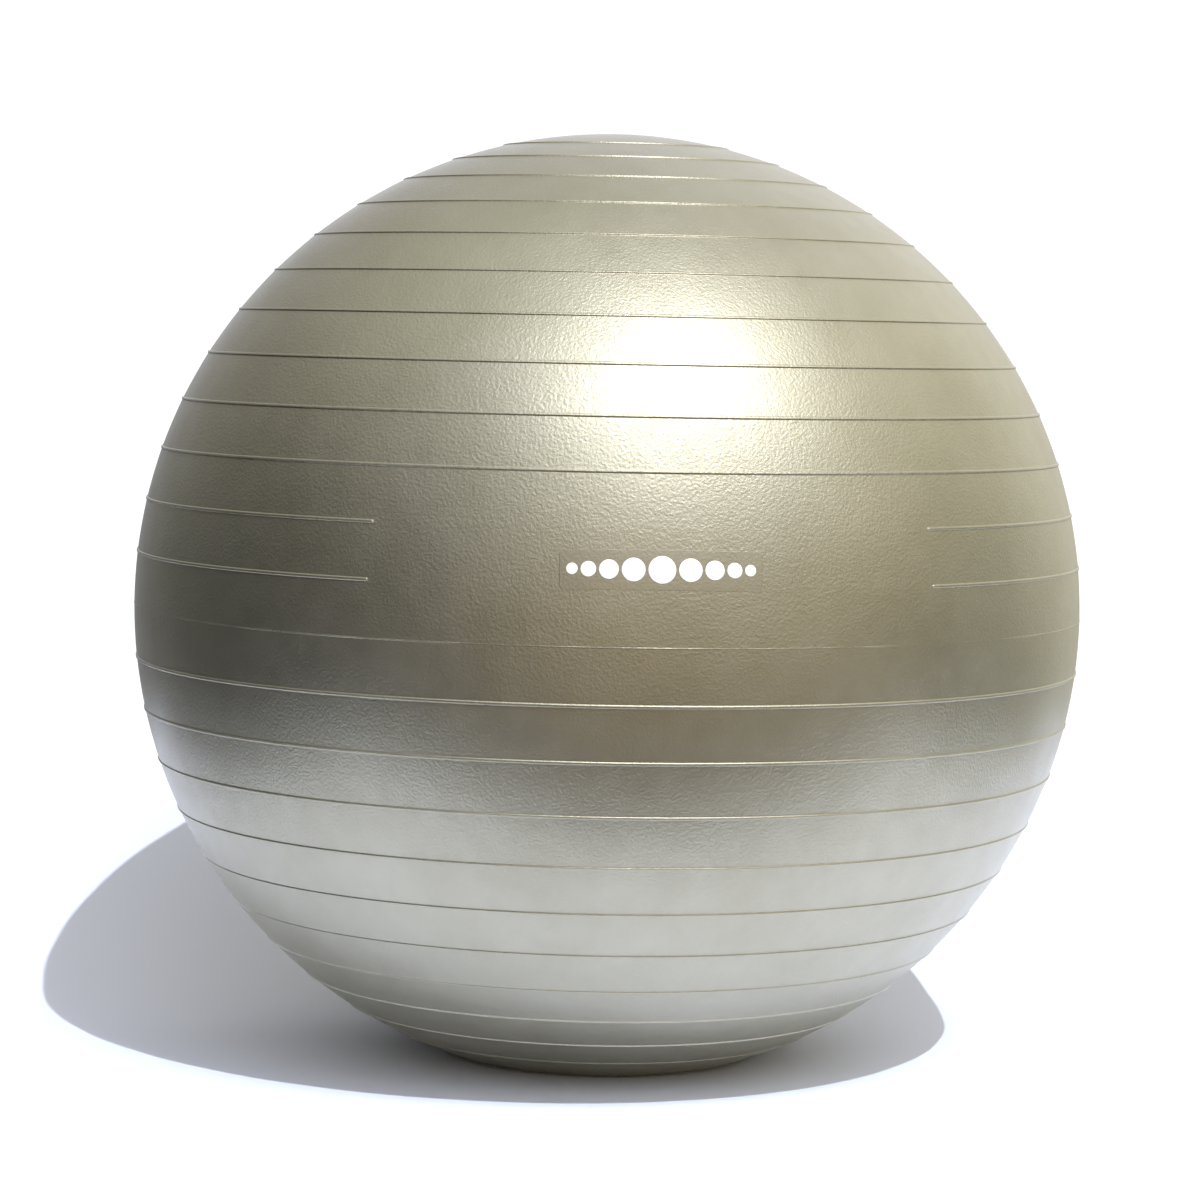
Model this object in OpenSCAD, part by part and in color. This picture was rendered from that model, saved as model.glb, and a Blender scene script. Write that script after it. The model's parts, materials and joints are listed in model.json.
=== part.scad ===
// Inflated exercise ball: a hollow vinyl skin with moulded ribs, its air valve and its printed patch.
// Millimetres, +Z up. The origin is the centre of the flat on which the ball rests.
// The smooth panel with the print faces -Y, and the valve is in the opposite panel, facing +Y.

/* [Ball] */
// Outside diameter of the inflated ball, without its ribs
ball_d = 650; // [550:50:850]
// Thickness of the stretched skin
skin_t = 0.9; // [0.8:0.1:2]
// Radius of the flat that the ball's own weight makes on the floor
rest_r = 104; // [80:1:110]

/* [Ribs] */
// Angle between the centre lines of neighbouring ribs, seen from the ball's centre
rib_pitch = 6.36; // [5.5:0.01:6.6]
// Number of ribs between the parting line and each pole
rib_count = 12; // [4:1:12]
// Number of ribs above the parting line that stop at the smooth panels
short_ribs = 2; // [2:1:3]
// Height of a rib above the skin
rib_h = 0.7; // [0.4:0.1:1.5]
// Width of a rib where it meets the skin
rib_base_w = 2.4; // [1.6:0.1:4]
// Width of a rib's crest
rib_top_w = 1.3; // [0.8:0.1:1.5]
// Half of the angle that a smooth panel takes out of the short ribs
panel_half_angle = 33; // [22:1:45]
// Height of the parting line's flash
flash_h = 0.35; // [0.2:0.05:0.6]
// Width of the parting line's flash
flash_w = 1.2; // [0.8:0.1:2]

/* [Valve] */
// Radius of the hole through the skin
skin_hole_r = 10; // [9:0.5:12]
// Radius of the valve seat's flange inside the skin
seat_flange_r = 17; // [15:0.5:22]
// Thickness of the flange
seat_flange_t = 1.6; // [1.2:0.1:2.5]
// Outside radius of the seat's inner neck
seat_neck_r = 7; // [6:0.5:8]
// Radius of the seat's bore
seat_bore_r = 4; // [3.5:0.1:4.5]
// Length of the whole seat along its axis
seat_l = 26; // [22:1:30]
// Height of the seat's rim above the skin
seat_rim_h = 0.6; // [0.3:0.1:1]
// Depth of the recess that takes the plug's head
recess_depth = 2; // [1.8:0.1:3]
// Radius of the recess
recess_r = 6.8; // [6.6:0.1:7.5]
// Radius of the plug's head
plug_head_r = 6.4; // [5.5:0.1:6.5]
// Thickness of the plug's head
plug_head_t = 1.8; // [1.2:0.1:2]
// Length of the plug's stem
plug_stem_l = 20; // [16:1:22]
// Radius of the stem between its barbs
plug_stem_r = 3.1; // [2.6:0.1:3.3]
// Gap between a barb and the bore
plug_gap = 0.05; // [0.02:0.01:0.1]
// Number of barbs on the stem
barb_count = 3; // [2:1:4]
// Angle of the valve above the parting line
valve_lat = 9.5; // [8:0.5:12]

/* [Print] */
// How far the transfer film reaches past the row of dots, to the left and right
film_side_margin = 3.7; // [3:0.1:8]
// How far the film reaches past the largest dot, above and below
film_edge_margin = 3.7; // [3:0.1:8]
// Radius of the film's corners
film_corner_r = 3; // [1:0.5:6]
// Thickness of the film
film_t = 0.15; // [0.1:0.05:0.3]
// Thickness of the ink
ink_t = 0.1; // [0.1:0.05:0.2]
// Angle of the print above the parting line
print_lat = 8.4; // [7.5:0.1:10]
// Diameter of the largest dot, in the middle of the row
dot_d = 17; // [12:0.5:17]
// How much smaller each next dot is
dot_step = 2.5; // [1.5:0.1:2.5]
// Number of dots on each side of the largest
side_dots = 4; // [2:1:4]
// Gap between neighbouring dots
dot_gap = 1.7; // [1:0.1:2]

/* [Hidden] */

ball_r = ball_d / 2;
// Radius of the skin's inner face
inner_r = ball_r - skin_t;
// Height of the ball's centre above the flat
centre_z = sqrt(ball_r * ball_r - rest_r * rest_r);
// How far a rib's section reaches into the skin, so that they join
rib_root = skin_t / 2;
// Outlines cut or printed on the skin run between these two distances from the ball's centre
outline_start = ball_r - 40;
outline_l = 50;
// Distance from the ball's centre to the seat's inner end
seat_end = ball_r + seat_rim_h - seat_l;
// Distance from the ball's centre to the floor of the recess
recess_floor = ball_r + seat_rim_h - recess_depth;
// Inside radius of the flange's ring, within the wall round the recess
flange_inner_r = (recess_r + skin_hole_r) / 2;
// Bevel on the edges of the seat's rim and the plug's head
rim_round = 0.5;
// Diameter of the dot that is n places from the middle, and its distance from the middle
function dot_size(n) = dot_d - n * dot_step;
function dot_place(n) =
    n == 0 ? 0 : dot_place(n - 1) + (dot_size(n - 1) + dot_size(n)) / 2 + dot_gap;
// Width and height of the film
film_w = 2 * dot_place(side_dots) + dot_size(side_dots) + 2 * film_side_margin;
film_h = dot_d + 2 * film_edge_margin;
// Hairline left under the film and under the ink, so that layers that touch never overlap
layer_gap = 0.01;
// Length of a barb, and of its crest
barb_l = 2.4;
barb_crest_l = 0.6;
// Plain length of the stem before its first barb
tip_l = 2.5;
ball_facets = 240;
small_facets = 64;

// One rib's section, at its place on the ball's outline in the XY plane of a section
module rib_section(lat, h, base_w, top_w)
    translate([0, centre_z])
        rotate([0, 0, lat])
            translate([ball_r, 0])
                polygon([
                    [-rib_root, -base_w / 2],
                    [0, -base_w / 2],
                    [h, -top_w / 2],
                    [h, top_w / 2],
                    [0, base_w / 2],
                    [-rib_root, base_w / 2]
                ]);

module long_rib_sections() {
    for (n = [1 : rib_count]) {
        rib_section(-n * rib_pitch, rib_h, rib_base_w, rib_top_w);
        if (n > short_ribs) rib_section(n * rib_pitch, rib_h, rib_base_w, rib_top_w);
    }
    rib_section(0, flash_h, flash_w, flash_w / 2);
}

// Half of the ball's wall, cut through its axis: flat at the bottom, inside and out
module wall_section()
    difference() {
        intersection() {
            union() {
                translate([0, centre_z]) circle(r = ball_r);
                long_rib_sections();
            }
            square([ball_r + rib_h + 1, centre_z + ball_r + 1]);
        }
        intersection() {
            translate([0, centre_z]) circle(r = inner_r);
            translate([-1, skin_t]) square([ball_r + 1, 2 * ball_r]);
        }
    }

// The arcs of one short rib, from one smooth panel to the other on each side
module short_rib(lat)
    for (side = [0, 180])
        rotate([0, 0, side - 90 + panel_half_angle])
            rotate_extrude(angle = 180 - 2 * panel_half_angle, $fn = ball_facets)
                rib_section(lat, rib_h, rib_base_w, rib_top_w);

// Places its children on the valve's axis, with +Z outwards from the ball's centre
module on_valve_axis()
    translate([0, 0, centre_z])
        rotate([valve_lat - 90, 0, 0])
            children();

// Places its children on the ball's front at an angle above the parting line and one round the
// ball, with +Z outwards from the ball's centre
module on_front(lat, around)
    translate([0, 0, centre_z])
        rotate([0, 0, around])
            rotate([90 - lat, 0, 0])
                children();

// A layer that lies on the skin between two heights above it, over its children's outline
module layer_on_skin(low, high)
    intersection() {
        difference() {
            sphere(r = ball_r + high, $fn = ball_facets);
            sphere(r = ball_r + low, $fn = ball_facets);
        }
        children();
    }

module ball_skin()
    color([0.56, 0.54, 0.46])
        difference() {
            union() {
                rotate_extrude($fn = ball_facets) wall_section();
                for (n = [1 : short_ribs]) short_rib(n * rib_pitch);
            }
            on_valve_axis()
                translate([0, 0, outline_start])
                    cylinder(r = skin_hole_r, h = outline_l, $fn = small_facets);
        }

// The seat's section: a rim in the skin's hole, a recess, a bore and a long inner neck
module seat_section()
    polygon([
        [seat_bore_r, seat_end],
        [seat_neck_r - 1, seat_end],
        [seat_neck_r, seat_end + 1],
        [seat_neck_r, inner_r - seat_flange_t],
        [skin_hole_r, inner_r - seat_flange_t],
        [skin_hole_r, ball_r + seat_rim_h - rim_round],
        [skin_hole_r - rim_round, ball_r + seat_rim_h],
        [recess_r + rim_round, ball_r + seat_rim_h],
        [recess_r, ball_r + seat_rim_h - rim_round],
        [recess_r, recess_floor],
        [seat_bore_r, recess_floor]
    ]);

module valve_seat()
    color([0.42, 0.41, 0.37])
        on_valve_axis()
            union() {
                rotate_extrude($fn = small_facets) seat_section();
                intersection() {
                    sphere(r = inner_r, $fn = ball_facets);
                    translate([0, 0, inner_r - seat_flange_t])
                        difference() {
                            cylinder(r = seat_flange_r, h = 2 * seat_flange_t, $fn = small_facets);
                            translate([0, 0, -1])
                                cylinder(r = flange_inner_r, h = 4 * seat_flange_t, $fn = small_facets);
                        }
                }
            }

// One barb's section: a ramp up to a short crest, then a square step back to the stem
module barb_section(start)
    polygon([
        [0, start],
        [plug_stem_r, start],
        [seat_bore_r - plug_gap, start + barb_l - barb_crest_l],
        [seat_bore_r - plug_gap, start + barb_l],
        [0, start + barb_l]
    ]);

module valve_plug() {
    stem_end = recess_floor - plug_stem_l;
    barb_pitch = (plug_stem_l - tip_l) / barb_count;
    color([0.93, 0.93, 0.91])
        on_valve_axis()
            rotate_extrude($fn = small_facets)
                union() {
                    polygon([
                        [0, stem_end],
                        [plug_stem_r - 1, stem_end],
                        [plug_stem_r, stem_end + 1],
                        [plug_stem_r, recess_floor],
                        [plug_head_r, recess_floor],
                        [plug_head_r, recess_floor + plug_head_t - rim_round],
                        [plug_head_r - rim_round, recess_floor + plug_head_t],
                        [0, recess_floor + plug_head_t]
                    ]);
                    for (n = [0 : barb_count - 1]) barb_section(stem_end + tip_l + n * barb_pitch);
                }
}

module film_outline()
    union() {
        square([film_w - 2 * film_corner_r, film_h], center = true);
        square([film_w, film_h - 2 * film_corner_r], center = true);
        for (x = [-1, 1], y = [-1, 1])
            translate([x * (film_w / 2 - film_corner_r), y * (film_h / 2 - film_corner_r)])
                circle(r = film_corner_r, $fn = small_facets);
    }

module transfer_film()
    color([0.6, 0.58, 0.5])
        on_front(print_lat, 0)
            layer_on_skin(layer_gap, film_t)
                translate([0, 0, outline_start])
                    linear_extrude(height = outline_l) film_outline();

// The angle round the ball that a length along the row of dots makes
function angle_round(length) = length / ball_r / cos(print_lat) * 180 / PI;

module print_mark()
    color([0.95, 0.95, 0.9])
        for (side = [-1, 1], n = [0 : side_dots])
            if (n > 0 || side > 0)
                on_front(print_lat, side * angle_round(dot_place(n)))
                    layer_on_skin(film_t + layer_gap, film_t + ink_t)
                        translate([0, 0, outline_start])
                            cylinder(r = dot_size(n) / 2, h = outline_l, $fn = small_facets);

ball_skin();
valve_seat();
valve_plug();
transfer_film();
print_mark();
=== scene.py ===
"""An inflated exercise ball: a satin, pearly vinyl skin with moulded ribs, its valve seat and
white plug, and a printed patch. Lengths are in metres and angles in degrees, in the part's own
frame: +Z up, the floor at z = 0, the printed panel towards -Y and the valve towards +Y.
"""

import json

import bmesh
import bpy
import numpy as np
from mathutils import Matrix, Vector


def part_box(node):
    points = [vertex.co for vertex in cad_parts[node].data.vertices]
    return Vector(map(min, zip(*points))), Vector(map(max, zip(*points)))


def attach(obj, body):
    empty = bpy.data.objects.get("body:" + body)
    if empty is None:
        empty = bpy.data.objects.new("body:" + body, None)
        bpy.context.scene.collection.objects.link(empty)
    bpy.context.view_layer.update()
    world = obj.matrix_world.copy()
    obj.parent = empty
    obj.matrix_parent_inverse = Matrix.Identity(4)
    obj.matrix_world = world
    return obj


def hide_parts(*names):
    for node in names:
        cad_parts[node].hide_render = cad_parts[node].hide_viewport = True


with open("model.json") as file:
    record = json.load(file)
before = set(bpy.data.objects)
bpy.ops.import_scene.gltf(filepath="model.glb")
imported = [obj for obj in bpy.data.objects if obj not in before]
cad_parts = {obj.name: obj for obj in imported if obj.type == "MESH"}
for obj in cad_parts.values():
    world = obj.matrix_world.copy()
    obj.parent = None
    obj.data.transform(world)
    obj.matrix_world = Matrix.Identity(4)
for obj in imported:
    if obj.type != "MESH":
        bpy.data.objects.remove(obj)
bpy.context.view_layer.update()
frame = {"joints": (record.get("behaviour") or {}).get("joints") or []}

MM = 0.001

# ---------------------------------------------------------------- sizes that repeat the CAD model
FLASH_H = 0.35 * MM  # the parting line stands this far out of the skin, and is the widest point
SKIN_T = 0.9 * MM
RIB_PITCH = 6.36
RIB_COUNT = 12
SHORT_RIBS = 2
RIB_H = 0.7 * MM
RIB_BASE_W = 2.4 * MM
RIB_TOP_W = 1.1 * MM  # where the crest's rounding starts, a little inside the CAD rib's flat top
PANEL_HALF_ANGLE = 33
FLASH_W = 1.2 * MM
SEAT_R = 10 * MM
SEAT_BORE_R = 4 * MM
SEAT_FLANGE_R = 17 * MM
SEAT_FLANGE_T = 1.6 * MM
SEAT_NECK_R = 7 * MM
SEAT_L = 26 * MM
SEAT_RIM_H = 0.6 * MM
RECESS_DEPTH = 2 * MM
RECESS_R = 6.8 * MM
PLUG_HEAD_R = 6.4 * MM
PLUG_HEAD_T = 1.8 * MM
PLUG_STEM_L = 20 * MM
PLUG_STEM_R = 3.1 * MM
BARB_R = SEAT_BORE_R - 0.05 * MM
BARB_L = 2.4 * MM
BARB_COUNT = 3
PLUG_TIP_L = 2.5 * MM
FILM_T = 0.15 * MM
INK_T = 0.1 * MM
FILM_CORNER_R = 3 * MM
DOT_D = 17 * MM
DOT_STEP = 2.5 * MM
DOT_GAP = 1.7 * MM
SIDE_DOTS = 4
FILM_SIDE_MARGIN = 3.7 * MM
FILM_EDGE_MARGIN = 3.7 * MM
PRINT_LAT = 8.4

# ------------------------------------------------------------------------ places from the frame
SKIN_LOW, SKIN_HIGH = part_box("ball_skin")
BALL_R = (SKIN_HIGH.x - SKIN_LOW.x) / 2 - FLASH_H
CENTRE = Vector((0, 0, SKIN_HIGH.z - BALL_R))
PLUG_JOINT = next(joint for joint in frame["joints"] if joint["name"] == "plug_pull")
VALVE_AXIS = Vector(PLUG_JOINT["axis"]).normalized()
RECESS_FLOOR = BALL_R + SEAT_RIM_H - RECESS_DEPTH
CONTACT_LAT = -np.degrees(np.arcsin(CENTRE.z / BALL_R))  # where the skin meets the floor
LOWEST_RIB = int(-CONTACT_LAT / RIB_PITCH)

# ------------------------------------------------------------------------------------- the camera
CAMERA_AZIMUTH = -5.9
CAMERA_ELEVATION = 4.4
CAMERA_DISTANCE = 7.82 * BALL_R
CAMERA_ROLL = 1.14
CAMERA_LENS = 110
CAMERA_SENSOR = 36
CAMERA_SHIFT = (-0.0058, 0.0056)


def direction(azimuth, elevation):
    """Unit vectors from the ball's centre. Azimuth 0 is -Y, and grows towards +X."""
    a, e = np.radians(azimuth), np.radians(elevation)
    return np.stack([np.sin(a) * np.cos(e), -np.cos(a) * np.cos(e), np.sin(e) + 0 * a], axis=-1)


def aim(obj, place, target, roll=0):
    """Puts obj at place, looking at target down its own -Z, and rolled about its line of sight."""
    look = (Vector(target) - Vector(place)).to_track_quat("-Z", "Y").to_matrix().to_4x4()
    obj.matrix_world = Matrix.Translation(place) @ look @ Matrix.Rotation(np.radians(roll), 4, "Z")


def make_camera():
    data = bpy.data.cameras.new("Camera")
    data.sensor_width = CAMERA_SENSOR
    data.lens = CAMERA_LENS
    data.shift_x, data.shift_y = CAMERA_SHIFT
    data.clip_end = 100
    camera = bpy.data.objects.new("Camera", data)
    bpy.context.scene.collection.objects.link(camera)
    place = CENTRE + CAMERA_DISTANCE * Vector(direction(CAMERA_AZIMUTH, CAMERA_ELEVATION))
    aim(camera, place, CENTRE, CAMERA_ROLL)
    bpy.context.scene.camera = camera


# ------------------------------------------------------------------------------ shape of the skin
BAND_SAG = 0.08 * MM  # how far a band between two ribs is pulled flat at its middle
COLLAR_R = 14.5 * MM  # a low moulded ring round the valve
COLLAR_W = 4 * MM
COLLAR_H = 0.45 * MM
PANEL_FADE = 5  # angle over which the bands' flattening fades out beside a smooth panel
RIB_END_FADE = 0.18  # angle over which a short rib drops to the panel
FLASH_BASE, FLASH_CHANGE = 0.32, 0.4  # the flash's mean height and its changes, in FLASH_H
FLASH_SEED = 4
WAVE_COUNTS = (3, 7, 13, 29, 53, 97)
RIB_FLANK = (0.3, 0.52, 0.7, 0.86, 1, 1.2)  # rings of vertices over half a rib, 1 at its foot
BAND_STEPS = 4
POLE_STEPS = 8
CONTACT_STEPS = (-0.4, 0, 0.25, 0.6)  # angles of the rings at the edge of the flat
EVEN_COLUMNS = 208
COLUMN_CLEARANCE = 0.25  # least angle between an even column and one at a rib's end
RIB_END_STEPS = (-1, 0, 0.33, 0.66, 1, 2)
VALVE_BLOCK = 5.4  # half of the angle of the block of faces that is laid in rings round the valve
VALVE_RING_R = 22 * MM  # the outermost of those rings that is a circle
COLLAR_FOOT_R = 19 * MM
COLLAR_RINGS = 9
HOLE_LIP_R = 11.4 * MM
HOLE_BEVEL = 0.3 * MM
HOLE_DIP = 0.15 * MM  # the skin sinks by this at the seat
INNER_RINGS = 64


def smooth_step(low, high, x):
    t = np.clip((x - low) / (high - low), 0, 1)
    return t * t * (3 - 2 * t)


def bump_profile(distance, base_w, top_w):
    """1 on a rib's crest, 0 beyond its base, with rounded corners between."""
    return 1 - smooth_step(top_w / 2, base_w / 2, np.abs(distance))


def off_panel(azimuth, fade):
    """0 in the smooth panels at the front and back, and 1 beside them."""
    from_panel = np.abs((azimuth + 90) % 180 - 90)
    return smooth_step(PANEL_HALF_ANGLE, PANEL_HALF_ANGLE + fade, from_panel)


def waviness(azimuth, seed):
    """An irregular curve round the ball, between -1 and 1, the same on every run."""
    random = np.random.default_rng(seed)
    a = np.radians(azimuth)
    waves = [
        (count, random.uniform(0.3, 1), random.uniform(0, 2 * np.pi))
        for count in WAVE_COUNTS
    ]
    return sum(size * np.sin(count * a + phase) for count, size, phase in waves) / 3


def skin_height(azimuth, elevation):
    """How far the skin stands out of a sphere of BALL_R, at arrays of angles."""
    level = elevation / RIB_PITCH
    nearest = np.clip(np.round(level), -LOWEST_RIB, RIB_COUNT)
    short = (nearest >= 1) & (nearest <= SHORT_RIBS)
    shown = np.where(short, off_panel(azimuth, RIB_END_FADE), 1) * (nearest != 0)
    distance = np.radians(elevation - nearest * RIB_PITCH) * BALL_R
    height = RIB_H * shown * bump_profile(distance, RIB_BASE_W, RIB_TOP_W)
    flash = FLASH_H * (FLASH_BASE + FLASH_CHANGE * waviness(azimuth, FLASH_SEED)) * (nearest == 0)
    height += flash * bump_profile(distance, FLASH_W, FLASH_W / 4)
    across = level - np.floor(level)
    in_panel = (level > 0) & (level < SHORT_RIBS + 1)
    between_ribs = (level > -LOWEST_RIB) & (level < RIB_COUNT)
    pulled = np.where(in_panel, off_panel(azimuth, PANEL_FADE), 1) * between_ribs
    return height - BAND_SAG * 4 * across * (1 - across) * pulled


def on_skin(azimuth, elevation):
    """Points on the skin's outer face, flat where the ball rests on the floor."""
    radius = BALL_R + skin_height(azimuth, elevation)
    points = np.array(CENTRE) + radius[..., None] * direction(azimuth, elevation)
    points[..., 2] = np.maximum(points[..., 2], 0)
    return points


def skin_elevations():
    """Where the skin's rings of vertices lie: close together over each rib, wider on the bands."""
    over_rib = np.array([-x for x in RIB_FLANK[::-1]] + list(RIB_FLANK)) * RIB_BASE_W / 2
    rows = []
    for n in range(-LOWEST_RIB, RIB_COUNT + 1):
        offsets = over_rib * (FLASH_W / RIB_BASE_W if n == 0 else 1)
        rows += list(n * RIB_PITCH + np.degrees(offsets / BALL_R))
        if n < RIB_COUNT:
            rows += list((n + np.linspace(0, 1, BAND_STEPS + 1)[1:-1]) * RIB_PITCH)
    rows += list(np.linspace(RIB_COUNT * RIB_PITCH, 90, POLE_STEPS + 1)[1:-1])
    rows += [CONTACT_LAT + step for step in CONTACT_STEPS]
    rows += list(np.linspace(CONTACT_LAT, -90, POLE_STEPS + 1)[1:-1])
    return np.array(sorted(rows))


def skin_azimuths():
    """Where the skin's columns lie: even, with more at the ends of the short ribs."""
    even = np.arange(0, 360, 360 / EVEN_COLUMNS)
    ends = [
        side + sign * (PANEL_HALF_ANGLE + part * RIB_END_FADE)
        for side in (0, 180)
        for sign in (-1, 1)
        for part in RIB_END_STEPS
    ]
    ends = np.array(ends) % 360
    clear = np.array([np.min(np.abs(ends - a)) > COLUMN_CLEARANCE for a in even])
    return np.array(sorted(np.concatenate([even[clear], ends])))


def finish_mesh(name, vertices, faces, body, node):
    """A mesh piece that rides on a body and replaces a CAD node."""
    mesh = bpy.data.meshes.new(name)
    mesh.from_pydata(vertices, [], faces)
    mesh.validate()
    work = bmesh.new()
    work.from_mesh(mesh)
    bmesh.ops.recalc_face_normals(work, faces=work.faces)
    work.to_mesh(mesh)
    work.free()
    mesh.update()
    mesh.polygons.foreach_set("use_smooth", [True] * len(mesh.polygons))
    obj = bpy.data.objects.new(name, mesh)
    bpy.context.scene.collection.objects.link(obj)
    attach(obj, body)
    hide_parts(node)
    return obj


def valve_frame():
    """Two unit vectors across the valve's axis: level to the side, and up the skin."""
    side = VALVE_AXIS.cross(Vector((0, 0, 1))).normalized()
    return np.array(side), np.array(side.cross(VALVE_AXIS))


def round_valve(x, y, lift):
    """Points lift above the sphere of BALL_R, at x and y across the valve's axis."""
    side, up = valve_frame()
    axis = np.array(VALVE_AXIS)
    along = np.sqrt(BALL_R**2 - x**2 - y**2)
    ray = (x[:, None] * side + y[:, None] * up + along[:, None] * axis) / BALL_R
    return np.array(CENTRE) + ray * (BALL_R + lift)[:, None]


def make_skin():
    """The skin as one closed shell: the ribbed outer face, the valve's hole and the inner face."""
    azimuths, elevations = skin_azimuths(), skin_elevations()
    columns, rows = len(azimuths), len(elevations)
    grid_a, grid_e = np.meshgrid(azimuths, elevations)
    outer = on_skin(grid_a, grid_e).reshape(-1, 3)
    valve_e = np.degrees(np.arcsin(VALVE_AXIS.z))
    c0 = int(np.searchsorted(azimuths, 180 - VALVE_BLOCK))
    c1 = int(np.searchsorted(azimuths, 180 + VALVE_BLOCK))
    r0 = int(np.searchsorted(elevations, valve_e - VALVE_BLOCK))
    r1 = int(np.searchsorted(elevations, valve_e + VALVE_BLOCK))
    faces = []
    for r in range(rows - 1):
        for c in range(columns):
            if r0 <= r < r1 and c0 <= c < c1:
                continue
            d = (c + 1) % columns
            low, high = r * columns, (r + 1) * columns
            faces.append((low + c, low + d, high + d, high + c))
    vertices = [outer]
    count = len(outer)
    for row, pole in ((0, -1), (rows - 1, 1)):
        tip = on_skin(np.array([0.0]), np.array([90.0 * pole]))
        vertices.append(tip)
        ring = [row * columns + c for c in range(columns)]
        for c in range(columns):
            edge = (ring[c], ring[(c + 1) % columns])
            faces.append((*(edge if pole > 0 else edge[::-1]), count))
        count += 1

    # the block round the valve: rings that turn from the grid's square into the hole's circle
    border = [r0 * columns + c for c in range(c0, c1)]
    border += [r * columns + c1 for r in range(r0, r1)]
    border += [r1 * columns + c for c in range(c1, c0, -1)]
    border += [r * columns + c0 for r in range(r1, r0, -1)]
    side, up = valve_frame()
    away = (outer[border] - np.array(CENTRE)) / BALL_R
    x, y = away @ side * BALL_R, away @ up * BALL_R
    square_r, angle = np.hypot(x, y), np.arctan2(y, x)
    base_lift = np.linalg.norm(outer[border] - np.array(CENTRE), axis=1) - BALL_R
    collar = np.linspace(COLLAR_R + COLLAR_W / 2, COLLAR_R - COLLAR_W / 2, COLLAR_RINGS)
    circles = [VALVE_RING_R, COLLAR_FOOT_R, *collar, HOLE_LIP_R, SEAT_R + HOLE_BEVEL, SEAT_R]
    half_way = (square_r + 0.5 * (VALVE_RING_R - square_r), base_lift * 0.5)
    rings = [half_way] + [(np.full(len(x), r), 0 * base_lift) for r in circles]
    previous = border
    for n, (radius, lift) in enumerate(rings, 1):
        from_crest = np.clip((radius - COLLAR_R) / (COLLAR_W / 2), -1, 1)
        lift = lift + COLLAR_H * (0.5 + 0.5 * np.cos(np.pi * from_crest))
        if n == len(rings):
            lift = lift - HOLE_DIP
        vertices.append(round_valve(radius * np.cos(angle), radius * np.sin(angle), lift))
        current = list(range(count, count + len(border)))
        count += len(border)
        faces += bridge(previous, current)
        previous = current

    # the inner face: rings round the valve's axis from the hole to the far side
    inner_r = BALL_R - SKIN_T
    first = np.arcsin(SEAT_R / inner_r)
    axis = np.array(VALVE_AXIS)
    for tilt in np.linspace(first, np.pi, INNER_RINGS)[:-1]:
        around = np.cos(angle)[:, None] * side + np.sin(angle)[:, None] * up
        points = np.array(CENTRE) + inner_r * (np.sin(tilt) * around + np.cos(tilt) * axis)
        points[:, 2] = np.maximum(points[:, 2], SKIN_T)
        vertices.append(points)
        current = list(range(count, count + len(border)))
        count += len(border)
        faces += bridge(previous, current)
        previous = current
    vertices.append((np.array(CENTRE) - inner_r * axis)[None])
    following = previous[1:] + previous[:1]
    faces += [(a, b, count) for a, b in zip(previous, following)]
    vertices = np.concatenate(vertices)
    faces = [tuple(int(i) for i in f) for f in faces]
    used = np.zeros(len(vertices), bool)
    used[[i for f in faces for i in f]] = True
    renumbered = np.cumsum(used) - 1
    faces = [tuple(int(renumbered[i]) for i in f) for f in faces]
    return finish_mesh("skin", vertices[used].tolist(), faces, "ball", "ball_skin")


def bridge(first, second):
    """Quads from one closed ring of vertices to the next."""
    n = len(first)
    return [(first[i], first[(i + 1) % n], second[(i + 1) % n], second[i]) for i in range(n)]


# -------------------------------------------------------------------------- the valve and its plug
ON_AXIS = 1e-9  # a point nearer to the axis than this lies on it
ROUNDING_STEPS = 4
ROUNDING_REACH = 0.45  # a corner's rounding takes no more than this share of a side
LATHE_COLUMNS = 96
SEAT_ROUNDING = 0.4 * MM
PLUG_ROUNDING = 0.35 * MM
RIM_BEVEL = 0.5 * MM
RIM_STEP = 0.1 * MM
TIP_TAPER, TIP_TAPER_L = 0.6 * MM, 1 * MM
BARB_RISE = 0.75  # share of a barb's length over which it widens
BARB_BACK = 0.15 * MM
HEAD_DISH = [  # radius in the plug's head, and how far the dish lies below its top
    (4.9 * MM, 0),
    (4.6 * MM, 0.35 * MM),
    (1.7 * MM, 0.35 * MM),
    (1.5 * MM, 0.9 * MM),
    (0, 0.9 * MM),
]


def rounded(profile, radius):
    """A closed outline of (r, z) points with every corner off the axis rounded."""
    points, result = [np.array(p, float) for p in profile], []
    for i, p in enumerate(points):
        before, after = points[i - 1], points[(i + 1) % len(points)]
        if p[0] < ON_AXIS:
            result.append(p)
            continue
        to_before, to_after = before - p, after - p
        before_l, after_l = np.linalg.norm(to_before), np.linalg.norm(to_after)
        reach = min(radius, before_l * ROUNDING_REACH, after_l * ROUNDING_REACH)
        a = p + to_before / before_l * reach
        b = p + to_after / after_l * reach
        for t in np.linspace(0, 1, ROUNDING_STEPS + 1):
            result.append((1 - t) ** 2 * a + 2 * t * (1 - t) * p + t**2 * b)
    return result


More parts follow.
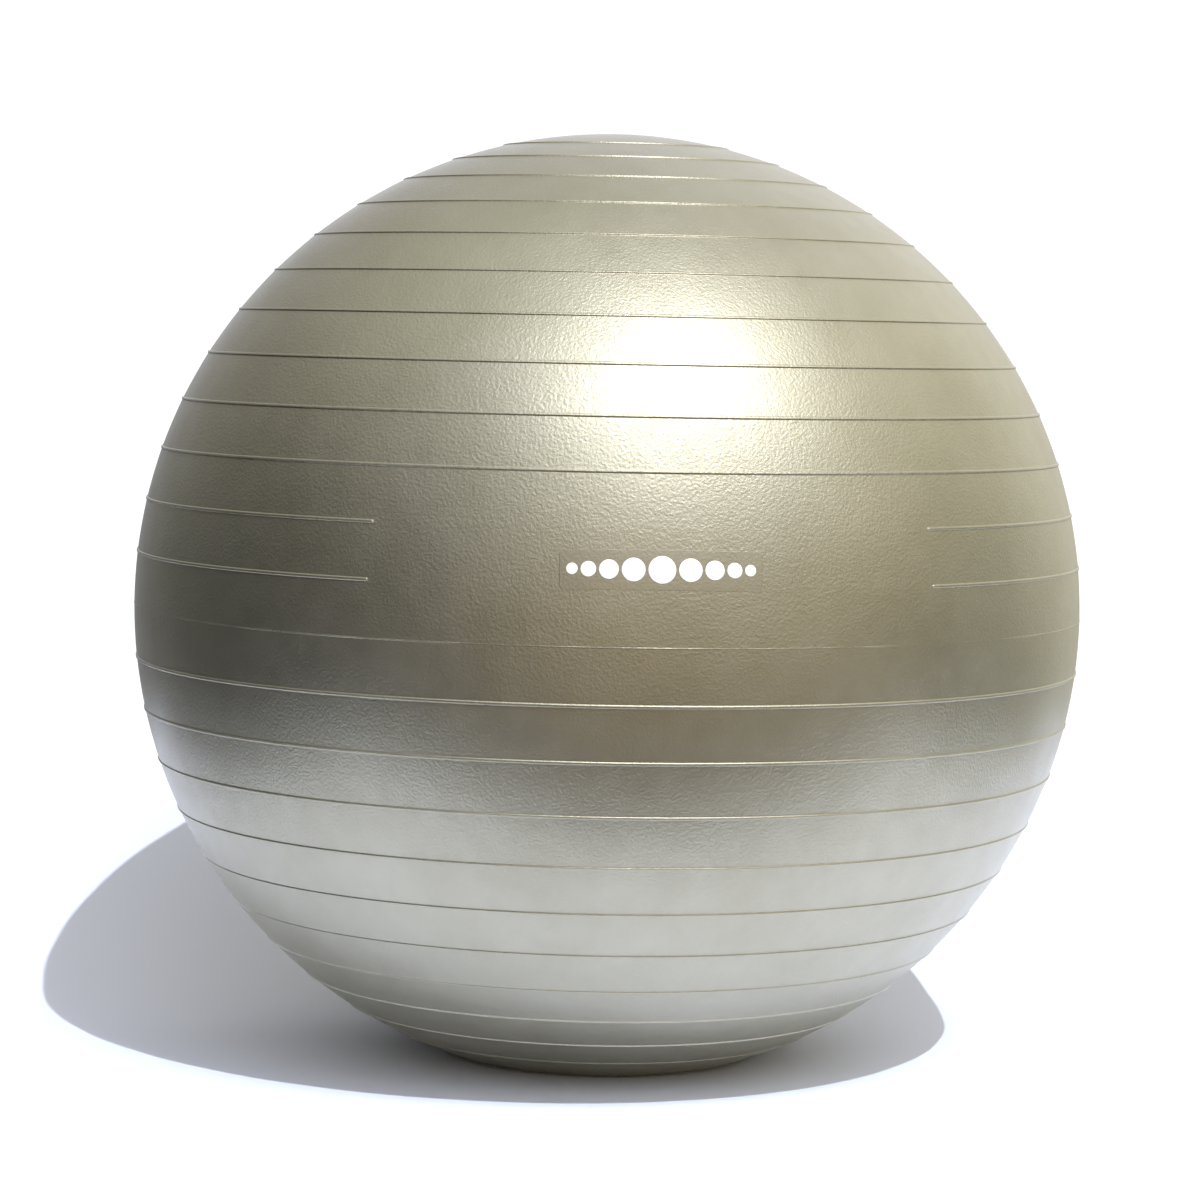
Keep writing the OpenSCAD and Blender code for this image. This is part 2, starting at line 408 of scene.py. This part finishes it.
def lathe(name, profile, node, body):
    """Turns an outline of (radius, distance from the ball's centre) about the valve's axis."""
    side, up = valve_frame()
    axis = np.array(VALVE_AXIS)
    angles = np.linspace(0, 2 * np.pi, LATHE_COLUMNS, endpoint=False)
    around = np.cos(angles)[:, None] * side + np.sin(angles)[:, None] * up
    vertices, rings = [], []
    for r, z in profile:
        start = len(vertices)
        if r < ON_AXIS:
            vertices.append(np.array(CENTRE) + z * axis)
            rings.append([start] * LATHE_COLUMNS)
        else:
            vertices += list(np.array(CENTRE) + z * axis + r * around)
            rings.append(list(range(start, start + LATHE_COLUMNS)))
    faces = []
    closed = all(r > ON_AXIS for r, _ in profile)
    pairs = list(zip(rings, rings[1:])) + ([(rings[-1], rings[0])] if closed else [])
    for a, b in pairs:
        for quad in bridge(a, b):
            corners = tuple(dict.fromkeys(quad))
            if len(corners) > 2:
                faces.append(corners)
    return finish_mesh(name, [tuple(v) for v in vertices], faces, body, node)


def make_seat():
    rim = BALL_R + SEAT_RIM_H
    inner = BALL_R - SKIN_T
    end = rim - SEAT_L
    flange_top = np.sqrt(inner**2 - SEAT_FLANGE_R**2)
    profile = [
        (SEAT_BORE_R, end),
        (SEAT_NECK_R, end),
        (SEAT_NECK_R, inner - SEAT_FLANGE_T),
        (SEAT_FLANGE_R, inner - SEAT_FLANGE_T),
        (SEAT_FLANGE_R, flange_top),
        (SEAT_R, np.sqrt(inner**2 - SEAT_R**2)),
        (SEAT_R, rim - RIM_STEP),
        (SEAT_R - RIM_BEVEL, rim),
        (RECESS_R + RIM_BEVEL, rim),
        (RECESS_R, rim - RIM_BEVEL),
        (RECESS_R, RECESS_FLOOR),
        (SEAT_BORE_R, RECESS_FLOOR),
    ]
    return lathe("seat", rounded(profile, SEAT_ROUNDING), "valve_seat", "ball")


def make_plug():
    end = RECESS_FLOOR - PLUG_STEM_L
    pitch = (PLUG_STEM_L - PLUG_TIP_L) / BARB_COUNT
    profile = [(0, end), (PLUG_STEM_R - TIP_TAPER, end), (PLUG_STEM_R, end + TIP_TAPER_L)]
    for n in range(BARB_COUNT):
        foot = end + PLUG_TIP_L + n * pitch
        profile += [
            (PLUG_STEM_R, foot),
            (BARB_R, foot + BARB_RISE * BARB_L),
            (BARB_R, foot + BARB_L),
            (PLUG_STEM_R, foot + BARB_L + BARB_BACK),
        ]
    top = RECESS_FLOOR + PLUG_HEAD_T
    profile += [
        (PLUG_STEM_R, RECESS_FLOOR),
        (PLUG_HEAD_R, RECESS_FLOOR),
        (PLUG_HEAD_R, top),
        *[(r, top - depth) for r, depth in HEAD_DISH],
    ]
    return lathe("plug", rounded(profile, PLUG_ROUNDING), "valve_plug", "plug")


# ------------------------------------------------------------------------------ film and its print
LAYER_BITE = 0.02 * MM  # how far the film and the ink reach into the layer below
FILM_RIM_T = 0.1 * MM  # the film thins to this at its edge
FILM_RINGS = (0.08, 0.2, 0.35, 0.5, 0.65, 0.8, 0.9, 0.96, 0.985, 0.994, 0.998, 1)
FILM_EDGE_STEP = 4 * MM
CORNER_STEPS = 8
DOT_RINGS = (0.25, 0.5, 0.75, 0.93, 1)
DOT_ANGLE_STEP = 6


def print_point(x, y, lift):
    """A point lift above the skin, x to the side and y up from the middle of the print."""
    sideways = np.array([1.0, 0, 0])
    outwards = direction(0, PRINT_LAT)
    upwards = np.cross(outwards, sideways)
    along = np.sqrt(BALL_R**2 - x**2 - y**2)
    ray = (x[:, None] * sideways + y[:, None] * upwards + along[:, None] * outwards) / BALL_R
    return np.array(CENTRE) + ray * (BALL_R + lift)[:, None]


def slab(outline_rings, low, high, rim):
    """A thin layer on the skin. outline_rings run from the middle outwards, as (x, y) arrays, and
    the first has one point. A bottom and an edge close it, and its top comes down to rim there."""
    vertices, faces, count = [], [], 0
    tops, bottoms = [], []
    for level, store in ((high, tops), (low, bottoms)):
        for n, (x, y) in enumerate(outline_rings, 1):
            at_rim = n == len(outline_rings) and level == high
            vertices.append(print_point(x, y, np.full(len(x), rim if at_rim else level)))
            store.append(list(range(count, count + len(x))))
            count += len(x)
    for store, flip in ((tops, False), (bottoms, True)):
        middle, first = store[0][0], store[1]
        n = len(first)
        fan = [(middle, first[i], first[(i + 1) % n]) for i in range(n)]
        quads = [q for a, b in zip(store[1:], store[2:]) for q in bridge(b, a)]
        quads = [q[::-1] for q in quads]
        faces += [f[::-1] if flip else f for f in fan + quads]
    faces += bridge(bottoms[-1], tops[-1])
    return np.concatenate(vertices), faces


def film_rings():
    """The film's outline, a rectangle with round corners, and smaller copies of it inside."""
    half_w = film_width() / 2
    half_h = DOT_D / 2 + FILM_EDGE_MARGIN
    corner = []
    for cx, cy, start in ((1, 1, 0), (-1, 1, 90), (-1, -1, 180), (1, -1, 270)):
        for a in np.radians(np.linspace(start, start + 90, CORNER_STEPS + 1)):
            x = cx * (half_w - FILM_CORNER_R) + FILM_CORNER_R * np.cos(a)
            y = cy * (half_h - FILM_CORNER_R) + FILM_CORNER_R * np.sin(a)
            corner.append((x, y))
    outline = []
    for (x0, y0), (x1, y1) in zip(corner, corner[1:] + corner[:1]):
        pieces = max(1, int(np.hypot(x1 - x0, y1 - y0) / FILM_EDGE_STEP))
        outline += [(x0 + (x1 - x0) * t, y0 + (y1 - y0) * t) for t in np.arange(pieces) / pieces]
    x, y = np.array(outline).T
    rings = [(np.array([0.0]), np.array([0.0]))]
    return rings + [(x * share, y * share) for share in FILM_RINGS]


def dot_sizes():
    return [DOT_D - n * DOT_STEP for n in range(SIDE_DOTS + 1)]


def dot_places():
    sizes, places = dot_sizes(), [0.0]
    for n in range(1, SIDE_DOTS + 1):
        places.append(places[-1] + (sizes[n - 1] + sizes[n]) / 2 + DOT_GAP)
    return places


def film_width():
    return 2 * dot_places()[-1] + dot_sizes()[-1] + 2 * FILM_SIDE_MARGIN


def make_film():
    vertices, faces = slab(film_rings(), -LAYER_BITE, FILM_T, FILM_RIM_T)
    return finish_mesh("film", vertices.tolist(), faces, "ball", "transfer_film")


def make_dots():
    """Nine dots in a row, the largest in the middle, each turned round the ball to its place."""
    vertices, faces, count = [], [], 0
    angles = np.radians(np.arange(0, 360, DOT_ANGLE_STEP))
    top = FILM_T + INK_T
    for side in (-1, 1):
        for n, (size, place) in enumerate(zip(dot_sizes(), dot_places())):
            if n == 0 and side < 0:
                continue
            rings = [(np.array([0.0]), np.array([0.0]))]
            for r in np.array(DOT_RINGS) * size / 2:
                rings.append((np.cos(angles) * r, np.sin(angles) * r))
            v, f = slab(rings, FILM_T - LAYER_BITE, top, top)
            turn = side * place / BALL_R / np.cos(np.radians(PRINT_LAT))
            spin = np.array(Matrix.Rotation(turn, 3, "Z"))
            vertices.append((v - np.array(CENTRE)) @ spin.T + np.array(CENTRE))
            faces += [tuple(i + count for i in face) for face in f]
            count += len(v)
    vertices = np.concatenate(vertices)
    return finish_mesh("print_dots", vertices.tolist(), faces, "ball", "print_mark")


# ------------------------------------------------------------------------------------- materials
SKIN_DARK, SKIN_LIGHT = (0.4, 0.382, 0.292), (0.455, 0.437, 0.347)
FILM_DARK, FILM_LIGHT = (0.382, 0.364, 0.282), (0.432, 0.414, 0.332)


def new_material(name):
    material = bpy.data.materials.new(name)
    material.use_nodes = True
    tree = material.node_tree
    return material, tree, tree.nodes["Principled BSDF"]


def node(tree, kind, **settings):
    made = tree.nodes.new(kind)
    for key, value in settings.items():
        if key in made.inputs:
            made.inputs[key].default_value = value
        else:
            setattr(made, key, value)
    return made


def noise(tree, scale, detail, roughness=0.5):
    """A noise texture in object coordinates. Its features are about 1 / scale metres across."""
    coordinates = node(tree, "ShaderNodeTexCoord")
    made = node(tree, "ShaderNodeTexNoise", Scale=scale, Detail=detail, Roughness=roughness)
    tree.links.new(coordinates.outputs["Object"], made.inputs["Vector"])
    return made.outputs["Fac"]


def ramp(tree, source, low, high, low_at=0.3, high_at=0.7):
    """A colour ramp from low to high between two values of source."""
    made = node(tree, "ShaderNodeValToRGB")
    stops = made.color_ramp.elements
    stops[0].position, stops[1].position = low_at, high_at
    stops[0].color, stops[1].color = (*low, 1), (*high, 1)
    tree.links.new(source, made.inputs["Fac"])
    return made.outputs["Color"]


def mapped(tree, source, low, high):
    """A number from low to high, as source goes from 0.3 to 0.7."""
    made = node(tree, "ShaderNodeMapRange")
    tree.links.new(source, made.inputs["Value"])
    limits = {"From Min": 0.3, "From Max": 0.7, "To Min": low, "To Max": high}
    for key, value in limits.items():
        made.inputs[key].default_value = value
    return made.outputs["Result"]


def bump(tree, source, strength, distance, below=None):
    made = node(tree, "ShaderNodeBump", Strength=strength, Distance=distance)
    tree.links.new(source, made.inputs["Height"])
    if below is not None:
        tree.links.new(below, made.inputs["Normal"])
    return made.outputs["Normal"]


def pearl_vinyl(name, stipple, roughness, dark, light):
    """Pearly, satin vinyl: a mottled warm grey with a fine moulded stipple."""
    material, tree, shader = new_material(name)
    colour = ramp(tree, noise(tree, 14, 4, 0.6), dark, light)
    tree.links.new(colour, shader.inputs["Base Color"])
    rough = mapped(tree, noise(tree, 60, 3), roughness - 0.03, roughness + 0.03)
    tree.links.new(rough, shader.inputs["Roughness"])
    coarse = bump(tree, noise(tree, 130, 2), 0.3 * stipple, 0.3 * MM)
    fine = bump(tree, noise(tree, 520, 3, 0.6), 0.72 * stipple, 0.5 * MM, coarse)
    tree.links.new(fine, shader.inputs["Normal"])
    shader.inputs["Metallic"].default_value = 0.9
    shader.inputs["IOR"].default_value = 1.52
    shader.inputs["Coat Weight"].default_value = 0.3
    shader.inputs["Coat Roughness"].default_value = 0.3
    return material


def soft_vinyl():
    material, tree, shader = new_material("soft vinyl")
    colour = ramp(tree, noise(tree, 300, 3), (0.13, 0.125, 0.1), (0.19, 0.182, 0.15))
    tree.links.new(colour, shader.inputs["Base Color"])
    rough = mapped(tree, noise(tree, 700, 2), 0.42, 0.55)
    tree.links.new(rough, shader.inputs["Roughness"])
    tree.links.new(bump(tree, noise(tree, 1500, 2), 0.3, 0.1 * MM), shader.inputs["Normal"])
    return material


def white_polythene():
    material, tree, shader = new_material("white polythene")
    colour = ramp(tree, noise(tree, 400, 3), (0.78, 0.78, 0.75), (0.86, 0.86, 0.84))
    tree.links.new(colour, shader.inputs["Base Color"])
    rough = mapped(tree, noise(tree, 900, 2), 0.36, 0.5)
    tree.links.new(rough, shader.inputs["Roughness"])
    tree.links.new(bump(tree, noise(tree, 1800, 2), 0.2, 0.08 * MM), shader.inputs["Normal"])
    return material


def white_ink():
    material, tree, shader = new_material("white ink")
    speckle = noise(tree, 500, 4, 0.7)
    colour = ramp(tree, speckle, (0.8, 0.8, 0.76), (0.92, 0.92, 0.88), high_at=0.6)
    tree.links.new(colour, shader.inputs["Base Color"])
    rough = mapped(tree, noise(tree, 300, 2), 0.45, 0.6)
    tree.links.new(rough, shader.inputs["Roughness"])
    tree.links.new(bump(tree, noise(tree, 520, 2), 0.2, 0.15 * MM), shader.inputs["Normal"])
    return material


def floor_material():
    material, tree, shader = new_material("white floor")
    white = ramp(tree, noise(tree, 3, 3), (0.82, 0.85, 0.965), (0.84, 0.87, 0.985))
    tree.links.new(white, shader.inputs["Base Color"])
    shader.inputs["Roughness"].default_value = 0.9
    shader.inputs["Specular IOR Level"].default_value = 0.1
    return material


def dress(obj, material):
    obj.data.materials.clear()
    obj.data.materials.append(material)


# ------------------------------------------------------------------------------- floor and lights
FLOOR_LEFT, FLOOR_RIGHT, FLOOR_FRONT, FLOOR_BACK = -0.64, 0.8, -0.48, 0.46
SWEEP_START = 0.11  # the paper curves up from here, behind the ball
SWEEP_CURVE = 1.034  # its height is this times the square of the distance from there
SWEEP_STRIPS = 24
KEY_AZIMUTH, KEY_ELEVATION = 18.5, 56.3  # draws the shadow on the paper
KEY_STRENGTH = 2.2
KEY_COLOUR = (0.92, 0.99, 1.2)
UNDER_AZIMUTH, UNDER_ELEVATION = 180, -65  # for the paper's underside, which is seen from behind
UNDER_STRENGTH = 3.3
UNDER_COLOUR = (1, 1, 1)
SUN_WIDTH = 0.5
SOFTBOX_AZIMUTH, SOFTBOX_ELEVATION, SOFTBOX_DISTANCE = 16, 54, 7
SOFTBOX_SIZE = (0.7, 0.36)
SOFTBOX_POWER = 27.5
GLOW_SIZE = (2.2, 1.6)
GLOW_POWER = 15.4
BACKDROP_STRENGTH = 1.15  # white, and seen by the camera only
PANEL_GAIN = 1.1
PANELS = [  # azimuth, elevation, focus (9 falls to half at 23 degrees, 24 at 14) and colour
    (0, 6, 9, (0.58, 0.42, 0.2)),
    (45, 6, 9, (0.4, 0.31, 0.13)),
    (135, 6, 9, (0.84, 0.82, 0.67)),
    (180, 8, 24, (1.0, 1.04, 1.25)),
    (22.5, 36, 9, (0.3, 0.4, 0.6)),
    (337.5, 36, 9, (0.38, 0.38, 0.38)),
    (67.5, 36, 9, (0.6, 0.54, 0.38)),
    (112.5, 36, 9, (0.56, 0.54, 0.4)),
    (157.5, 36, 9, (0.72, 0.71, 0.82)),
    (212, 28, 14, (0.27, 0.265, 0.24)),
    (215, 2, 14, (0.18, 0.18, 0.18)),
    (0, 64, 9, (0.06, 0.12, 0.32)),
    (180, 64, 9, (0.26, 0.25, 0.19)),
    (270, 64, 9, (0.74, 0.72, 0.58)),
]


def make_floor():
    """White paper: level under the ball, curving up behind it, and ending a little in front."""
    depths = [FLOOR_FRONT, *np.linspace(SWEEP_START, FLOOR_BACK, SWEEP_STRIPS + 1)]
    vertices, faces = [], []
    for n, y in enumerate(depths):
        height = SWEEP_CURVE * max(0, y - SWEEP_START) ** 2
        vertices += [(FLOOR_LEFT, y, height), (FLOOR_RIGHT, y, height)]
        if n:
            faces.append((2 * n - 2, 2 * n - 1, 2 * n + 1, 2 * n))
    mesh = bpy.data.meshes.new("floor")
    mesh.from_pydata(vertices, [], faces)
    mesh.polygons.foreach_set("use_smooth", [True] * len(mesh.polygons))
    floor = bpy.data.objects.new("floor", mesh)
    bpy.context.scene.collection.objects.link(floor)
    dress(floor, floor_material())


def make_sun(name, azimuth, elevation, strength, colour):
    """A far, hard lamp that isn't reflected in the ball."""
    data = bpy.data.lights.new(name, "SUN")
    data.energy = strength
    data.color = colour
    data.angle = np.radians(SUN_WIDTH)
    lamp = bpy.data.objects.new(name, data)
    bpy.context.scene.collection.objects.link(lamp)
    aim(lamp, CENTRE + Vector(direction(azimuth, elevation)), CENTRE)
    lamp.visible_glossy = False


def make_softbox(name, size, power):
    """A broad lamp whose reflection is part of the highlight on the ball's upper front."""
    data = bpy.data.lights.new(name, "AREA")
    data.shape = "RECTANGLE"
    data.size, data.size_y = size
    data.energy = power
    lamp = bpy.data.objects.new(name, data)
    bpy.context.scene.collection.objects.link(lamp)
    way = Vector(direction(SOFTBOX_AZIMUTH, SOFTBOX_ELEVATION))
    aim(lamp, CENTRE + SOFTBOX_DISTANCE * BALL_R * way, CENTRE)
    lamp.visible_camera = False


def make_world():
    """White to the camera. The ball and floor are lit by soft panels round the studio: a bright,
    cool backdrop, a dimmer and warm room before the print, and a bright ceiling on the left."""
    world = bpy.data.worlds.new("studio")
    bpy.context.scene.world = world
    world.use_nodes = True
    tree = world.node_tree
    tree.nodes.clear()
    way = node(tree, "ShaderNodeTexCoord").outputs["Generated"]
    total = None
    for azimuth, elevation, focus, colour in PANELS:
        facing = node(tree, "ShaderNodeVectorMath", operation="DOT_PRODUCT")
        tree.links.new(way, facing.inputs[0])
        facing.inputs[1].default_value = tuple(direction(azimuth, elevation))
        spread = node(tree, "ShaderNodeMath", operation="MULTIPLY_ADD")
        tree.links.new(facing.outputs["Value"], spread.inputs[0])
        spread.inputs[1].default_value, spread.inputs[2].default_value = focus, -focus
        glow = node(tree, "ShaderNodeMath", operation="EXPONENT")
        tree.links.new(spread.outputs["Value"], glow.inputs[0])
        tint = node(tree, "ShaderNodeVectorMath", operation="SCALE")
        tint.inputs[0].default_value = colour
        tree.links.new(glow.outputs["Value"], tint.inputs["Scale"])
        if total is None:
            total = tint.outputs["Vector"]
        else:
            both = node(tree, "ShaderNodeVectorMath", operation="ADD")
            tree.links.new(total, both.inputs[0])
            tree.links.new(tint.outputs["Vector"], both.inputs[1])
            total = both.outputs["Vector"]
    lit = node(tree, "ShaderNodeBackground", Strength=PANEL_GAIN)
    tree.links.new(total, lit.inputs["Color"])
    seen = node(tree, "ShaderNodeBackground", Color=(1, 1, 1, 1), Strength=BACKDROP_STRENGTH)
    path = node(tree, "ShaderNodeLightPath")
    mix = node(tree, "ShaderNodeMixShader")
    tree.links.new(path.outputs["Is Camera Ray"], mix.inputs["Fac"])
    tree.links.new(lit.outputs["Background"], mix.inputs[1])
    tree.links.new(seen.outputs["Background"], mix.inputs[2])
    output = node(tree, "ShaderNodeOutputWorld")
    tree.links.new(mix.outputs["Shader"], output.inputs["Surface"])


# --------------------------------------------------------------------------------------- the scene
def build():
    bpy.context.scene.view_settings.view_transform = "Standard"
    make_camera()
    dress(make_skin(), pearl_vinyl("pearl vinyl", 1.0, 0.44, SKIN_DARK, SKIN_LIGHT))
    dress(make_film(), pearl_vinyl("film over vinyl", 0.6, 0.43, FILM_DARK, FILM_LIGHT))
    dress(make_dots(), white_ink())
    dress(make_seat(), soft_vinyl())
    dress(make_plug(), white_polythene())
    make_floor()
    make_sun("key", KEY_AZIMUTH, KEY_ELEVATION, KEY_STRENGTH, KEY_COLOUR)
    make_sun("under", UNDER_AZIMUTH, UNDER_ELEVATION, UNDER_STRENGTH, UNDER_COLOUR)
    make_softbox("softbox", SOFTBOX_SIZE, SOFTBOX_POWER)
    make_softbox("glow", GLOW_SIZE, GLOW_POWER)
    make_world()


build()
